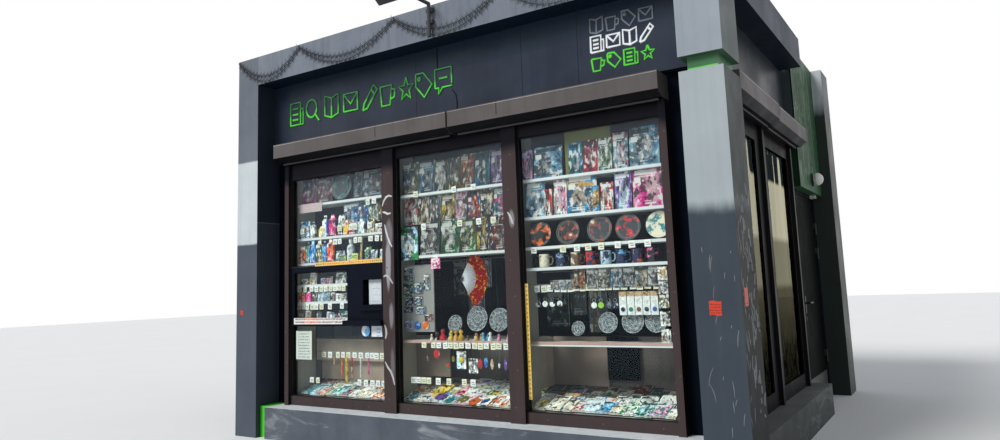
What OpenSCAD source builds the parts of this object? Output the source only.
// Street kiosk: two interlocking L-shaped portal frames around a glazed sales room.
// Millimetres. The front looks towards -Y, the door is on the +X side.
// The origin is on the ground, in the middle of the footprint.

/* [Body] */
// Width across the front, outside the columns
body_w = 4340; // [4250:10:4600]
// Depth of the body, front column face to rear column face
body_d = 4210; // [4150:10:4500]
// Height of the beams above the ground
body_h = 3300; // [3250:10:3500]

/* [Portal frames] */
// Front width of a column on the left side
left_column_w = 262; // [220:1:320]
// Front width of a column on the right side
corner_column_w = 270; // [230:1:330]
// Depth of every column
column_d = 380; // [350:1:440]
// Height of every beam
beam_h = 258; // [230:1:300]
// Height of the plinth
plinth_h = 255; // [200:1:300]
// Top of the lower corner column below the top of the beams
corner_drop = 880; // [800:1:950]
// Height of the green joint in the corner column
joint_h = 92; // [60:1:130]
// How far the green joint core is set in from the column faces
joint_inset = 44; // [20:1:60]
// Gap between the left column and the front plinth
plinth_gap = 109; // [60:1:160]
// How far the green strip in that gap is set in
strip_inset = 50; // [20:1:90]
// Gap between the end of the side beam and the slotted panel
side_beam_gap = 64; // [20:1:200]
// Gap between the end of the side plinth and the door frame
side_plinth_gap = 9; // [0:1:200]

/* [Walls] */
// Front wall face, behind the front plane
front_setback = 245; // [225:1:280]
// Right wall face, in from the side plane
side_setback = 210; // [195:1:240]
// Left and back wall faces, in from their planes
plain_setback = 150; // [120:1:180]
// Thickness of the walls
wall_t = 80; // [60:1:100]
// Top of the floor above the ground
floor_h = 100; // [60:1:140]
// Underside of the roof below the top of the beams
ceiling_drop = 340; // [320:1:400]
// Thickness of the roof
roof_t = 120; // [95:1:160]

/* [Signs] */
// Lower edge of the sign panels below the top of the beams
sign_drop = 795; // [700:1:815]
// Front sign face, behind the front plane
front_sign_setback = 190; // [170:1:215]
// Side sign face, in from the side plane
side_sign_setback = 185; // [165:1:190]

/* [Shutter boxes] */
// Gap between the sign panels and the shutter boxes
sign_gap = 25; // [10:1:60]
// Height of a shutter box
box_h = 160; // [140:1:170]
// Height of the slope under a shutter box
box_slope_h = 40; // [20:1:60]
// Depth of the slope under a shutter box
box_slope_d = 56; // [30:1:75]
// Front face of the front shutter boxes, behind the front plane
box_setback = 50; // [20:1:80]
// Shutter box overhang past the left end of the window
box_overhang = 26; // [10:1:60]
// Length of the left front shutter box
box_left_l = 1876; // [1700:1:1900]
// Gap between the two front shutter boxes
box_gap = 16; // [6:1:30]
// Outer face of the near side shutter box, in from the side plane
side_box_near_setback = 2; // [0:1:30]
// Outer face of the far side shutter box, in from the side plane
side_box_far_setback = 12; // [0:1:40]
// Length of the near side shutter box
side_box_near_l = 1142; // [1000:1:1200]
// Gap between the far side shutter box and the slotted panel
side_box_end_gap = 44; // [20:1:80]

/* [Front window] */
// Dark wall strip between the left column and the window
window_margin = 172; // [120:1:190]
// Dark wall strip between the window and the corner column
window_end_margin = 152; // [120:1:190]
// Front face of the window frame, behind the front plane
frame_setback = 182; // [160:1:200]
// Width of the outer window stiles
stile_w = 52; // [40:1:60]
// Width of the two mullions
mullion_w = 119; // [90:1:125]
// Clear width of the left bay
bay_1_w = 1070; // [1000:1:1080]
// Clear width of the middle bay
bay_2_w = 1018; // [950:1:1030]
// Height of the bottom rail
sill_h = 75; // [50:1:100]
// Height of the top rail
head_h = 98; // [70:1:120]
// Extra height of the top rail over the left bay
bay_1_head_h = 50; // [30:1:80]
// Thickness of a glass pane
glass_t = 24; // [6:1:30]
// Width of the outer roller shutter guide rails
rail_w = 48; // [36:1:60]
// How far the guide rails stand proud of the frame
rail_d = 26; // [15:1:35]

/* [Service hatch] */
// Width of the service hatch
hatch_w = 405; // [360:1:450]
// Height of the service hatch with its bar
hatch_h = 495; // [450:1:560]
// Underside of the service hatch above the ground
hatch_z = 915; // [850:1:950]
// Height of the transom beside the hatch
transom_h = 48; // [35:1:70]
// Height of the bar under the hatch and the small pane
hatch_bar_h = 42; // [30:1:60]
// Width of the hatch pane
hatch_pane_w = 196; // [160:1:230]
// Height of the hatch pane
hatch_pane_h = 200; // [160:1:220]
// Distance of the hatch pane from the mullion
hatch_pane_margin = 26; // [15:1:40]
// Width of the raised rim around the hatch pane
hatch_rim_w = 22; // [10:1:26]
// How far the rim and the steps of the hatch stand proud
hatch_step_d = 14; // [8:1:20]
// Depth of the hatch ledge in front of the frame
ledge_d = 60; // [30:1:80]

/* [Side window] */
// Front face of the side window frame, in from the side plane
side_window_setback = 160; // [150:1:180]
// Width of the stile beside the corner column
near_stile_w = 66; // [50:1:90]
// Clear width of the near pane
near_pane_w = 890; // [800:1:910]
// Width of the mullion between the two panes
side_mullion_w = 340; // [280:1:350]
// Width of the stile beside the door
far_stile_w = 110; // [80:1:120]
// Wall post between the side window and the door frame
wall_post_w = 186; // [120:1:260]
// Height of the bottom rail of the side window
side_sill_h = 112; // [80:1:140]
// Height of the top rail of the side window
side_head_h = 125; // [90:1:150]

/* [Door] */
// Door frame between the leaf and the rear column
door_end_margin = 104; // [90:1:140]
// Width of the door leaf
leaf_w = 900; // [850:1:910]
// Thickness of the door leaf
leaf_t = 45; // [35:1:50]
// Height of the door leaf
leaf_h = 1820; // [1750:1:1900]
// Running gap round the door leaf
leaf_gap = 6; // [5:1:10]
// Thickness of the door threshold on the floor
threshold_h = 10; // [5:1:20]
// Width of the door jamb on the handle side
jamb_w = 58; // [45:1:65]
// Height of the door frame over the leaf
door_head_h = 38; // [30:1:60]
// Width of the stop behind the leaf
stop_w = 18; // [12:1:25]
// Thickness of the stop behind the leaf
stop_t = 14; // [8:1:20]
// Heights of the hinges above the ground
hinge_zs = [340, 1345, 1590];
// Radius of the hinge knuckles
knuckle_r = 11; // [9:0.5:13]
// Height of one hinge knuckle
knuckle_h = 56; // [40:1:60]
// Gap between a knuckle and the face of the leaf
knuckle_gap = 2; // [1:0.5:4]
// Radius of the hinge pins
pin_r = 5; // [3:0.5:6]
// Clearance between a pin and its knuckle, on the radius
pin_clearance = 0.4; // [0.3:0.1:1]
// Width of a hinge flag
flag_w = 58; // [40:1:70]
// Thickness of a hinge flag
flag_t = 4; // [3:0.5:6]
// Height of the lever handle above the ground
handle_z = 938; // [880:1:1020]
// Distance of the lever spindle from the edge of the leaf
backset = 62; // [45:1:80]
// Length of the lever
lever_l = 118; // [90:1:140]
// Distance of the lever from the leaf
lever_standoff = 46; // [35:1:55]
// Radius of the lever
lever_r = 10; // [8:0.5:12]
// Width of the handle plate
rose_w = 36; // [28:1:50]
// Thickness of the handle plate
rose_t = 8; // [4:1:12]
// Reach of the handle plate over the lever
rose_up = 60; // [30:1:90]
// Reach of the handle plate under the lever
rose_down = 90; // [50:1:120]

/* [Slotted panel] */
// Outer face of the slotted panel, in from the side plane
panel_setback = 100; // [90:1:120]
// Reach of the slotted panel past the near edge of the doorway
panel_overhang = 56; // [20:1:80]
// Sheet thickness of the slotted panel
sheet_t = 12; // [6:1:16]
// Width of one slot
slot_w = 15; // [8:1:22]
// Distance between two slots
slot_pitch = 58; // [45:1:80]
// Distance of the first slot from the edge of its sheet
slot_margin = 44; // [30:1:60]
// Number of upright sheets in the slotted panel
sheet_count = 4; // [3:1:5]
// Gap between two sheets of the slotted panel
sheet_gap = 4; // [2:1:8]
// Mean height of the lower slot ends over the edge of the panel
slot_foot = 185; // [150:1:260]
// Mean height of the bridges between two slots over the edge of the panel
slot_bridge = 690; // [600:1:760]
// Mean distance of the upper slot ends from the top of the panel
slot_head = 150; // [120:1:240]
// How far the slot ends vary up and down
slot_spread = 92; // [0:1:110]

/* [Dome lamp] */
// Radius of the lamp glass
lamp_r = 62; // [45:1:70]
// Radius of the lamp base
lamp_base_r = 48; // [40:1:60]
// Depth of the lamp base
lamp_base_d = 40; // [20:1:60]
// Height of the lamp centre over the lower edge of the panel
lamp_rise = 122; // [90:1:180]
// Distance of the lamp centre from the rear column
lamp_margin = 495; // [380:1:620]

/* [Display] */
// Thickness of the shelves
shelf_t = 20; // [12:1:30]
// Depth of the shelves
shelf_d = 205; // [150:1:260]
// Gap between the window frame and the display
display_gap = 20; // [10:1:40]
// Thickness of the upright display boards
divider_t = 22; // [16:1:30]
// Depth of the bottom tray
tray_d = 470; // [350:1:560]
// Rise of the bottom tray from front to back
tray_rise = 120; // [60:1:160]
// Front edge of the bottom tray above the ground
tray_z = 318; // [300:1:325]
// Heights of the left shelves, of those beside the hatch, and of the other shelves
left_shelf_zs = [1938, 1640, 1424];
small_shelf_zs = [1238, 1092, 935];
middle_shelf_zs = [1910, 1424, 775];
right_shelf_zs = [1910, 1640, 1428, 1282, 765];

/* [Floodlight] */
// Distance of the floodlight bracket from the left side
bracket_x = 2220; // [1500:1:2800]
// Length of the floodlight arm
arm_l = 430; // [300:1:600]
// Radius of the bracket tube
tube_r = 14; // [10:1:18]
// Gap between the bracket tube and the beam
tube_gap = 20; // [18:1:30]
// Heights of the two bracket straps over the edge of the beam
strap_zs = [118, 208];
// Width of the floodlight housing
flood_w = 190; // [140:1:240]
// Height of the floodlight housing
flood_h = 130; // [90:1:160]
// Depth of the floodlight housing
flood_d = 62; // [40:1:80]

/* [Garland] */
// Drop of the upper garland strand between two pegs
swag_drop = 178; // [120:1:200]
// Extra drop of the lower garland strand
strand_gap = 36; // [20:1:45]
// Radius of one garland strand
strand_r = 6; // [4:1:8]
// Length of a garland peg
peg_l = 24; // [18:1:40]
// Gap between a strand and the beam
strand_clearance = 2; // [1:1:6]
// Garland pegs from the left side, and from the right side
left_pegs = [20, 790, 1850];
right_pegs = [1500, 620, 20];

/* [Hidden] */

$fn = 48;
eps = 1;
x_left = -body_w / 2;
x_right = body_w / 2;
y_front = -body_d / 2;
y_back = body_d / 2;
beam_z = body_h - beam_h;
joint_z = body_h - corner_drop;
block_z = joint_z + joint_h;
ceiling_z = body_h - ceiling_drop;
roof_z = ceiling_z + roof_t;
sign_z = body_h - sign_drop;
box_z = sign_z - sign_gap - box_h;

left_bay_x = x_left + left_column_w;
right_bay_x = x_right - corner_column_w;
wall_y = y_front + front_setback;
wall_x = x_right - side_setback;
left_wall_x = x_left + plain_setback;
back_wall_y = y_back - plain_setback;
room_front = wall_y + wall_t;
room_right = wall_x - wall_t;
column_back = y_front + column_d;
rear_column_y = y_back - column_d;
front_sign_y = y_front + front_sign_setback;
side_sign_x = x_right - side_sign_setback;

window_x0 = left_bay_x + window_margin;
window_x1 = right_bay_x - window_end_margin;
bay_1_x = window_x0 + stile_w;
bay_2_x = bay_1_x + bay_1_w + mullion_w;
bay_3_x = bay_2_x + bay_2_w + mullion_w;
bay_3_w = window_x1 - stile_w - bay_3_x;
window_y = y_front + frame_setback;
glass_z0 = plinth_h + sill_h;
glass_z1 = box_z - head_h;
frame_t = wall_y - window_y;
glass_y = window_y + (frame_t - glass_t) / 2;
hatch_x = bay_1_x + bay_1_w - hatch_w;
hatch_top = hatch_z + hatch_h;
hatch_pane_x = bay_1_x + bay_1_w - hatch_pane_margin - hatch_pane_w;
hatch_pane_z = hatch_top - transom_h - hatch_pane_h - 2 * hatch_rim_w - hatch_bar_h;

leaf_x = side_sign_x;
leaf_end = rear_column_y - door_end_margin;
leaf_y = leaf_end - leaf_w;
doorway_y = leaf_y - leaf_gap - jamb_w;
leaf_z = floor_h + threshold_h + leaf_gap;
leaf_top = leaf_z + leaf_h;
frame_top = leaf_top + leaf_gap + door_head_h;
stop_x = leaf_x - leaf_t - leaf_gap;
hinge_x = leaf_x + knuckle_gap + knuckle_r;
hinge_y = leaf_end + leaf_gap / 2;

side_window_x = x_right - side_window_setback;
near_pane_y = column_back + near_stile_w;
far_pane_y = near_pane_y + near_pane_w + side_mullion_w;
side_window_end = doorway_y - wall_post_w;
far_pane_w = side_window_end - far_stile_w - far_pane_y;
side_glass_x = (wall_x + side_window_x - glass_t) / 2;

panel_x = x_right - panel_setback;
panel_y0 = doorway_y - panel_overhang;
panel_z = frame_top;
panel_h = body_h - panel_z;
lamp_z = panel_z + lamp_rise;
side_beam_end = panel_y0 - side_beam_gap;
side_plinth_end = doorway_y - side_plinth_gap;

display_y = wall_y + display_gap;
divider_xs = [
  window_x0 + divider_t, bay_2_x - mullion_w / 2 - divider_t / 2,
  bay_3_x - mullion_w / 2 - divider_t / 2, window_x1 - 2 * divider_t];

peg_xs = concat([for (x = left_pegs) x_left + x], [for (x = right_pegs) x_right - x]);
peg_z = body_h - 3 * strand_r;
strand_y = y_front - strand_clearance - strand_r;
swag_steps = 10;

module block(x0, x1, y0, y1, z0, z1) {
  translate([x0, y0, z0]) cube([x1 - x0, y1 - y0, z1 - z0]);
}

// A slab inside the walls that leaves room for the four columns
module column_notched_slab(z0, z1) {
  union() {
    block(left_bay_x, right_bay_x, wall_y, back_wall_y, z0, z1);
    block(left_wall_x, wall_x, column_back, rear_column_y, z0, z1);
  }
}

module floor_slab() {
  color("dimgray") column_notched_slab(0, floor_h);
}

module roof_panel() {
  color("gray") column_notched_slab(ceiling_z, roof_z);
}

module left_column() {
  color("gray") block(x_left, left_bay_x, y_front, column_back, 0, body_h);
}

module corner_column() {
  color("silver") block(right_bay_x, x_right, y_front, column_back, 0, joint_z);
}

module corner_block() {
  color("silver") block(right_bay_x, x_right, y_front, column_back, block_z, body_h);
}

module rear_right_column() {
  color("gray") block(right_bay_x, x_right, rear_column_y, y_back, 0, body_h);
}

module rear_left_column() {
  color("gray") block(x_left, left_bay_x, rear_column_y, y_back, 0, body_h);
}

module front_beam() {
  color("dimgray") block(left_bay_x, right_bay_x, y_front, front_sign_y, beam_z, body_h);
}

module side_beam() {
  color("dimgray")
    block(side_sign_x, x_right, column_back, side_beam_end, beam_z, body_h);
}

module left_beam() {
  color("dimgray") block(x_left, left_wall_x, column_back, rear_column_y, beam_z, body_h);
}

module rear_beam() {
  color("dimgray") block(left_bay_x, right_bay_x, back_wall_y, y_back, beam_z, body_h);
}

module front_plinth() {
  color("lightgray")
    block(left_bay_x + plinth_gap, right_bay_x, y_front, wall_y, 0, plinth_h);
}

module side_plinth() {
  color("lightgray")
    block(wall_x, x_right, column_back, side_plinth_end, 0, plinth_h);
}

module left_plinth() {
  color("lightgray") block(x_left, left_wall_x, column_back, rear_column_y, 0, plinth_h);
}

module rear_plinth() {
  color("lightgray") block(left_bay_x, right_bay_x, back_wall_y, y_back, 0, plinth_h);
}

module green_core() {
  color("limegreen") union() {
    block(right_bay_x + joint_inset, x_right - joint_inset, y_front + joint_inset,
      column_back, joint_z, block_z);
    block(right_bay_x, x_right - joint_inset, wall_y, column_back, joint_z, block_z);
  }
}

module green_strip() {
  color("limegreen")
    block(left_bay_x, left_bay_x + plinth_gap, y_front + strip_inset, wall_y, 0, plinth_h);
}

module front_wall_top() {
  color("darkslategray")
    block(left_bay_x, right_bay_x, wall_y, room_front, box_z, ceiling_z);
}

module front_wall_left() {
  color("darkslategray")
    block(left_bay_x, window_x0, wall_y, room_front, floor_h, box_z);
}

module front_wall_right() {
  color("darkslategray")
    block(window_x1, right_bay_x, wall_y, room_front, floor_h, box_z);
}

module right_wall_top() {
  color("darkslategray")
    block(room_right, wall_x, column_back, doorway_y, box_z, ceiling_z);
}

module right_wall_post() {
  color("darkslategray")
    block(room_right, wall_x, side_window_end, doorway_y, floor_h, box_z);
}

module right_wall_over_door() {
  color("darkslategray")
    block(room_right, wall_x, doorway_y, rear_column_y, frame_top, ceiling_z);
}

module left_wall() {
  color("darkslategray")
    block(left_wall_x, left_wall_x + wall_t, column_back, rear_column_y, floor_h, ceiling_z);
}

module back_wall() {
  color("darkslategray")
    block(left_bay_x, right_bay_x, back_wall_y - wall_t, back_wall_y, floor_h, ceiling_z);
}

module front_sign_panel() {
  color("darkslategray") block(left_bay_x, right_bay_x, front_sign_y, wall_y, sign_z, roof_z);
}

module side_sign_panel() {
  color("slategray") block(wall_x, side_sign_x, column_back, panel_y0, sign_z, roof_z);
}

// Cross-section of a shutter box: depth along X from the outer face, height along Y
module box_profile(depth) {
  polygon([
    [0, box_slope_h], [box_slope_d, 0], [depth, 0], [depth, box_h], [0, box_h]]);
}

// Shutter box on the front, from x0 to x1
module front_box(x0, x1) {
  color("rosybrown")
    translate([x0, y_front + box_setback, box_z])
      rotate([90, 0, 90]) linear_extrude(x1 - x0) box_profile(front_setback - box_setback);
}

// Shutter box on the right side, from y0 to y1
module side_box(y0, y1, setback) {
  color("rosybrown")
    translate([x_right - setback, y1, box_z])
      rotate([90, 0, 0]) linear_extrude(y1 - y0) mirror([1, 0]) box_profile(side_setback - setback);
}

module shutter_box_left() {
  front_box(window_x0 - box_overhang, window_x0 - box_overhang + box_left_l);
}

module shutter_box_right() {
  front_box(window_x0 - box_overhang + box_left_l + box_gap, window_x1);
}

module side_shutter_box_near() {
  side_box(column_back, column_back + side_box_near_l, side_box_near_setback);
}

module side_shutter_box_far() {
  side_box(column_back + side_box_near_l, panel_y0 - side_box_end_gap, side_box_far_setback);
}

// Upright rail in front of the window frame, with a slot for the curtain
module front_rail(x0, width) {
  block(x0, x0 + width, window_y - rail_d, window_y, plinth_h, box_z);
}

module side_rail(y0, width) {
  block(side_window_x, side_window_x + rail_d, y0, y0 + width, plinth_h, box_z);
}

module shutter_guide_rails() {
  color("saddlebrown") {
    front_rail(window_x0, rail_w);
    front_rail(bay_1_x + bay_1_w, mullion_w);
    front_rail(bay_2_x + bay_2_w, mullion_w);
    front_rail(window_x1 - rail_w, rail_w);
    side_rail(near_pane_y + near_pane_w + (side_mullion_w - rail_w) / 2, rail_w);
    side_rail(side_window_end - rail_w, rail_w);
  }
}

module front_window_frame() {
  color("saddlebrown") difference() {
    block(window_x0, window_x1, window_y, wall_y, plinth_h, box_z);
    block(bay_1_x, bay_1_x + bay_1_w, window_y - eps, wall_y + eps, glass_z0, hatch_z);
    block(bay_1_x, bay_1_x + bay_1_w, window_y - eps, wall_y + eps,
      hatch_top, glass_z1 - bay_1_head_h);
    block(bay_1_x, hatch_x, window_y - eps, wall_y + eps,
      hatch_z + hatch_bar_h, hatch_top - transom_h);
    block(hatch_x, bay_1_x + bay_1_w, window_y - eps, wall_y + eps, hatch_z - eps, hatch_top + eps);
    block(bay_2_x, bay_2_x + bay_2_w, window_y - eps, wall_y + eps, glass_z0, glass_z1);
    block(bay_3_x, bay_3_x + bay_3_w, window_y - eps, wall_y + eps, glass_z0, glass_z1);
  }
}

module front_pane(x0, x1, z0, z1) {
  block(x0, x1, glass_y, glass_y + glass_t, z0, z1);
}

module front_window_glass() {
  color("lightblue", 0.4) {
    front_pane(bay_1_x, bay_1_x + bay_1_w, glass_z0, hatch_z);
    front_pane(bay_1_x, bay_1_x + bay_1_w, hatch_top, glass_z1 - bay_1_head_h);
    front_pane(bay_1_x, hatch_x, hatch_z + hatch_bar_h, hatch_top - transom_h);
    front_pane(hatch_pane_x, hatch_pane_x + hatch_pane_w,
      hatch_pane_z, hatch_pane_z + hatch_pane_h);
    front_pane(bay_2_x, bay_2_x + bay_2_w, glass_z0, glass_z1);
    front_pane(bay_3_x, bay_3_x + bay_3_w, glass_z0, glass_z1);
  }
}

// Fixed hatch block with a rimmed pane, a stepped sill and a ledge
module service_hatch() {
  rim_x0 = hatch_pane_x - hatch_rim_w;
  rim_x1 = hatch_pane_x + hatch_pane_w + hatch_rim_w;
  rim_z1 = hatch_pane_z + hatch_pane_h + hatch_rim_w;
  color("midnightblue") difference() {
    union() {
      block(hatch_x, bay_1_x + bay_1_w, window_y, wall_y, hatch_z, hatch_top);
      block(rim_x0, rim_x1, window_y - hatch_step_d, window_y,
        hatch_pane_z - hatch_rim_w, rim_z1);
      block(rim_x0 - hatch_rim_w, rim_x1, window_y - 2 * hatch_step_d, window_y,
        hatch_pane_z - 2 * hatch_rim_w, hatch_pane_z - hatch_rim_w);
      block(hatch_x, bay_1_x + bay_1_w, window_y - ledge_d, window_y,
        hatch_z, hatch_z + hatch_bar_h);
    }
    block(hatch_pane_x, hatch_pane_x + hatch_pane_w, window_y - 3 * hatch_step_d,
      wall_y + eps, hatch_pane_z, hatch_pane_z + hatch_pane_h);
  }
}

module side_pane_gap(y0, width, x0, x1) {
  block(x0, x1, y0, y0 + width, plinth_h + side_sill_h, box_z - side_head_h);
}

module side_window_frame() {
  color("saddlebrown") difference() {
    block(wall_x, side_window_x, column_back, side_window_end, plinth_h, box_z);
    side_pane_gap(near_pane_y, near_pane_w, wall_x - eps, side_window_x + eps);
    side_pane_gap(far_pane_y, far_pane_w, wall_x - eps, side_window_x + eps);
  }
}

module side_window_glass() {
  color("lightblue", 0.4) {
    side_pane_gap(near_pane_y, near_pane_w, side_glass_x, side_glass_x + glass_t);
    side_pane_gap(far_pane_y, far_pane_w, side_glass_x, side_glass_x + glass_t);
  }
}

// Lower end, bridge and upper end of slot i over the lower edge of the panel
function slot_low(i) = round(slot_foot + slot_spread * sin(i * 97 + 40));
function slot_middle(i) = round(slot_bridge + slot_spread * sin(i * 61 + 20));
function slot_high(i) = round(panel_h - slot_head - slot_spread * cos(i * 131));

// One upright sheet of the casing, with its first slot number
module slotted_sheet(y0, width, first) {
  slot_count = floor((width - 2 * slot_margin) / slot_pitch) + 1;
  difference() {
    block(panel_x - sheet_t, panel_x, y0, y0 + width, panel_z, body_h);
    for (i = [0 : slot_count - 1])
      let (slot_y = y0 + slot_margin + i * slot_pitch, n = first + i) {
        block(panel_x - sheet_t - eps, panel_x + eps, slot_y, slot_y + slot_w,
          panel_z + slot_low(n), panel_z + slot_middle(n) - slot_w);
        block(panel_x - sheet_t - eps, panel_x + eps, slot_y, slot_y + slot_w,
          panel_z + slot_middle(n) + slot_w, panel_z + slot_high(n));
      }
  }
}

// Four walls of sheet behind the slotted sheets
module panel_casing() {
  color("forestgreen") difference() {
    block(wall_x, panel_x - sheet_t, panel_y0, rear_column_y, panel_z, body_h);
    block(wall_x - eps, panel_x, panel_y0 + sheet_t, rear_column_y - sheet_t,
      panel_z + sheet_t, body_h - sheet_t);
  }
}

// Upright slotted sheets over the door, side by side
module slotted_panel() {
  sheet_w = (rear_column_y - panel_y0 - (sheet_count - 1) * sheet_gap) / sheet_count;
  color("forestgreen") for (k = [0 : sheet_count - 1])
    slotted_sheet(panel_y0 + k * (sheet_w + sheet_gap), sheet_w, 5 * k);
}

module panel_backing() {
  color("darkgreen")
    block(wall_x - wall_t / 2, wall_x, side_beam_end, rear_column_y, roof_z, body_h);
}

module door_frame() {
  color("darkslategray") difference() {
    block(stop_x - stop_t, leaf_x, doorway_y, rear_column_y, floor_h, frame_top);
    block(stop_x, leaf_x + eps, leaf_y - leaf_gap, leaf_end + leaf_gap,
      floor_h + threshold_h, leaf_top + leaf_gap);
    block(stop_x - stop_t - eps, stop_x + eps, leaf_y - leaf_gap + stop_w,
      leaf_end + leaf_gap - stop_w, floor_h + threshold_h, leaf_top + leaf_gap - stop_w);
  }
}

module door_leaf() {
  color("rosybrown") block(leaf_x - leaf_t, leaf_x, leaf_y, leaf_end, leaf_z, leaf_top);
}

module door_handle() {
  color("black") translate([leaf_x, leaf_y + backset, handle_z]) union() {
    block(0, rose_t, -rose_w / 2, rose_w / 2, -rose_down, rose_up);
    rotate([0, 90, 0]) cylinder(r = lever_r, h = lever_standoff);
    translate([lever_standoff, 0, 0]) sphere(r = lever_r);
    translate([lever_standoff, 0, 0]) rotate([-90, 0, 0]) cylinder(r = lever_r, h = lever_l);
    translate([lever_standoff, lever_l, 0]) sphere(r = lever_r);
  }
}

module hinge_pins() {
  color("black") for (z = hinge_zs) union() {
    translate([hinge_x, hinge_y, z]) cylinder(r = knuckle_r, h = knuckle_h);
    translate([hinge_x, hinge_y, z]) cylinder(r = pin_r, h = 2 * knuckle_h - flag_t);
    block(leaf_x, leaf_x + flag_t, hinge_y + leaf_gap, hinge_y + flag_w, z, z + knuckle_h);
    block(leaf_x, hinge_x, hinge_y + leaf_gap, hinge_y + leaf_gap + flag_t, z, z + knuckle_h);
  }
}

module hinge_knuckles() {
  color("black") for (z = hinge_zs) difference() {
    union() {
      translate([hinge_x, hinge_y, z + knuckle_h + 1]) cylinder(r = knuckle_r, h = knuckle_h);
      block(leaf_x, leaf_x + flag_t, hinge_y - flag_w, hinge_y - leaf_gap,
        z + knuckle_h + 1, z + 2 * knuckle_h + 1);
      block(leaf_x, hinge_x, hinge_y - leaf_gap - flag_t, hinge_y - leaf_gap,
        z + knuckle_h + 1, z + 2 * knuckle_h + 1);
    }
    translate([hinge_x, hinge_y, z + knuckle_h]) cylinder(r = pin_r + pin_clearance, h = knuckle_h);
  }
}

module dome_lamp() {
  color("gainsboro") translate([panel_x, rear_column_y - lamp_margin, lamp_z]) rotate([0, 90, 0]) union() {
    cylinder(r = lamp_base_r, h = lamp_base_d);
    translate([0, 0, lamp_base_d]) intersection() {
      sphere(r = lamp_r);
      cylinder(r = lamp_r, h = lamp_r);
    }
  }
}

module sensor_box() {
  sensor_w = 95;
  sensor_d = 52;
  sensor_h = 28;
  color("gainsboro")
    block(leaf_x, leaf_x + sensor_d, leaf_end - sensor_w, leaf_end,
      frame_top - sensor_h, frame_top);
}

module display_dividers() {
  color("whitesmoke") for (x = divider_xs)
    block(x, x + divider_t, display_y, display_y + shelf_d, floor_h, box_z - divider_t);
}

// Shelves between divider i and the next one
module shelf_row(i, zs) {
  color("whitesmoke") for (z = zs)
    block(divider_xs[i] + divider_t, divider_xs[i + 1], display_y, display_y + shelf_d,
      z, z + shelf_t);
}

module left_bay_shelves() {
  cheek_x = hatch_x - divider_t;
  shelf_row(0, left_shelf_zs);
  color("whitesmoke") union() {
    block(cheek_x, hatch_x, display_y, display_y + shelf_d, hatch_z, left_shelf_zs[2]);
    for (z = small_shelf_zs)
      block(divider_xs[0] + divider_t, hatch_x, display_y, display_y + shelf_d, z, z + shelf_t);
  }
}

module middle_bay_shelves() {
  shelf_row(1, middle_shelf_zs);
}

module right_bay_shelves() {
  shelf_row(2, right_shelf_zs);
}

// Sloping display board on a front and a rear leg
module tray(x0, x1) {
  color("gainsboro")
    translate([x0, display_y, 0]) rotate([90, 0, 90]) linear_extrude(x1 - x0)
      polygon([
        [0, floor_h], [shelf_t, floor_h], [shelf_t, tray_z - shelf_t],
        [tray_d - shelf_t, tray_z + tray_rise - shelf_t], [tray_d - shelf_t, floor_h],
        [tray_d, floor_h], [tray_d, tray_z + tray_rise], [0, tray_z]]);
}

module magazine_trays() {
  for (i = [0 : 2]) tray(divider_xs[i] + divider_t, divider_xs[i + 1]);
}

// Upright tube on the beam, an arm and a floodlight that points back at the sign
module floodlight_bracket() {
  tube_x = x_left + bracket_x;
  tube_y = y_front - tube_gap - tube_r;
  color("dimgray") union() {
    translate([tube_x, tube_y, beam_z]) cylinder(r = tube_r, h = beam_h);
    translate([tube_x, tube_y, body_h]) sphere(r = tube_r);
    translate([tube_x, tube_y, body_h]) rotate([90, 0, 0]) cylinder(r = tube_r, h = arm_l);
    for (z = strap_zs)
      block(tube_x - 2 * tube_r, tube_x + 2 * tube_r, tube_y, y_front,
        beam_z + z - tube_r, beam_z + z + tube_r);
    translate([tube_x, tube_y - arm_l, body_h - flood_h / 2]) rotate([-35, 0, 0]) {
      block(-flood_w / 2, flood_w / 2, -flood_d / 2, flood_d / 2, -flood_h / 2, flood_h / 2);
    }
  }
}

// Height of a strand under its pegs, for a share t of the way along a swag
function swag(t, drop) = -drop * (1 - pow(2 * t - 1, 2));

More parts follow.
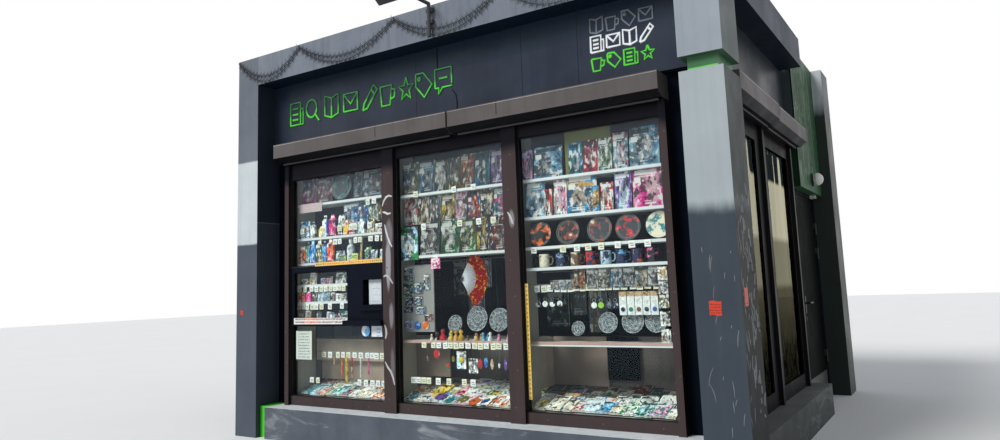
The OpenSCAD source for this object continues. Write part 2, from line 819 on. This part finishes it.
// Points of one strand over all its pegs
function strand_path(z0, drop) = concat(
  [for (p = [0 : len(peg_xs) - 2], i = [0 : swag_steps - 1])
    let (t = i / swag_steps)
      [peg_xs[p] + t * (peg_xs[p + 1] - peg_xs[p]), z0 + swag(t, drop)]],
  [[peg_xs[len(peg_xs) - 1], z0]]);

// Tube with six sides that hangs in swags in front of the beam
module strand(z0, drop) {
  sides = 6;
  path = strand_path(z0, drop);
  last = len(path) - 1;
  points = [for (p = path, k = [0 : sides - 1])
    [p[0], strand_y + strand_r * cos(360 * k / sides),
     p[1] + strand_r * sin(360 * k / sides)]];
  walls = [for (i = [0 : last - 1], k = [0 : sides - 1])
    [i * sides + k, (i + 1) * sides + k,
     (i + 1) * sides + (k + 1) % sides, i * sides + (k + 1) % sides]];
  start = [for (k = [0 : sides - 1]) k];
  end = [for (k = [sides - 1 : -1 : 0]) last * sides + k];
  polyhedron(points, concat([start], walls, [end]));
}

module garland() {
  color("darkolivegreen") union() {
    for (x = peg_xs)
      translate([x, y_front - peg_l, peg_z - strand_r]) rotate([-90, 0, 0])
        cylinder(r = 2.5 * strand_r, h = peg_l, $fn = 12);
    strand(peg_z, swag_drop);
    strand(peg_z - 2 * strand_r, swag_drop + strand_gap);
  }
}

floor_slab();
left_column();
corner_column();
corner_block();
rear_right_column();
rear_left_column();
front_beam();
side_beam();
left_beam();
rear_beam();
front_plinth();
side_plinth();
left_plinth();
rear_plinth();
green_core();
green_strip();
roof_panel();
front_wall_top();
front_wall_left();
front_wall_right();
right_wall_top();
right_wall_post();
right_wall_over_door();
left_wall();
back_wall();
front_sign_panel();
side_sign_panel();
shutter_box_left();
shutter_box_right();
side_shutter_box_near();
side_shutter_box_far();
shutter_guide_rails();
front_window_frame();
front_window_glass();
service_hatch();
side_window_frame();
side_window_glass();
slotted_panel();
panel_casing();
panel_backing();
door_frame();
door_leaf();
door_handle();
hinge_pins();
hinge_knuckles();
dome_lamp();
sensor_box();
display_dividers();
left_bay_shelves();
middle_bay_shelves();
right_bay_shelves();
magazine_trays();
floodlight_bracket();
garland();
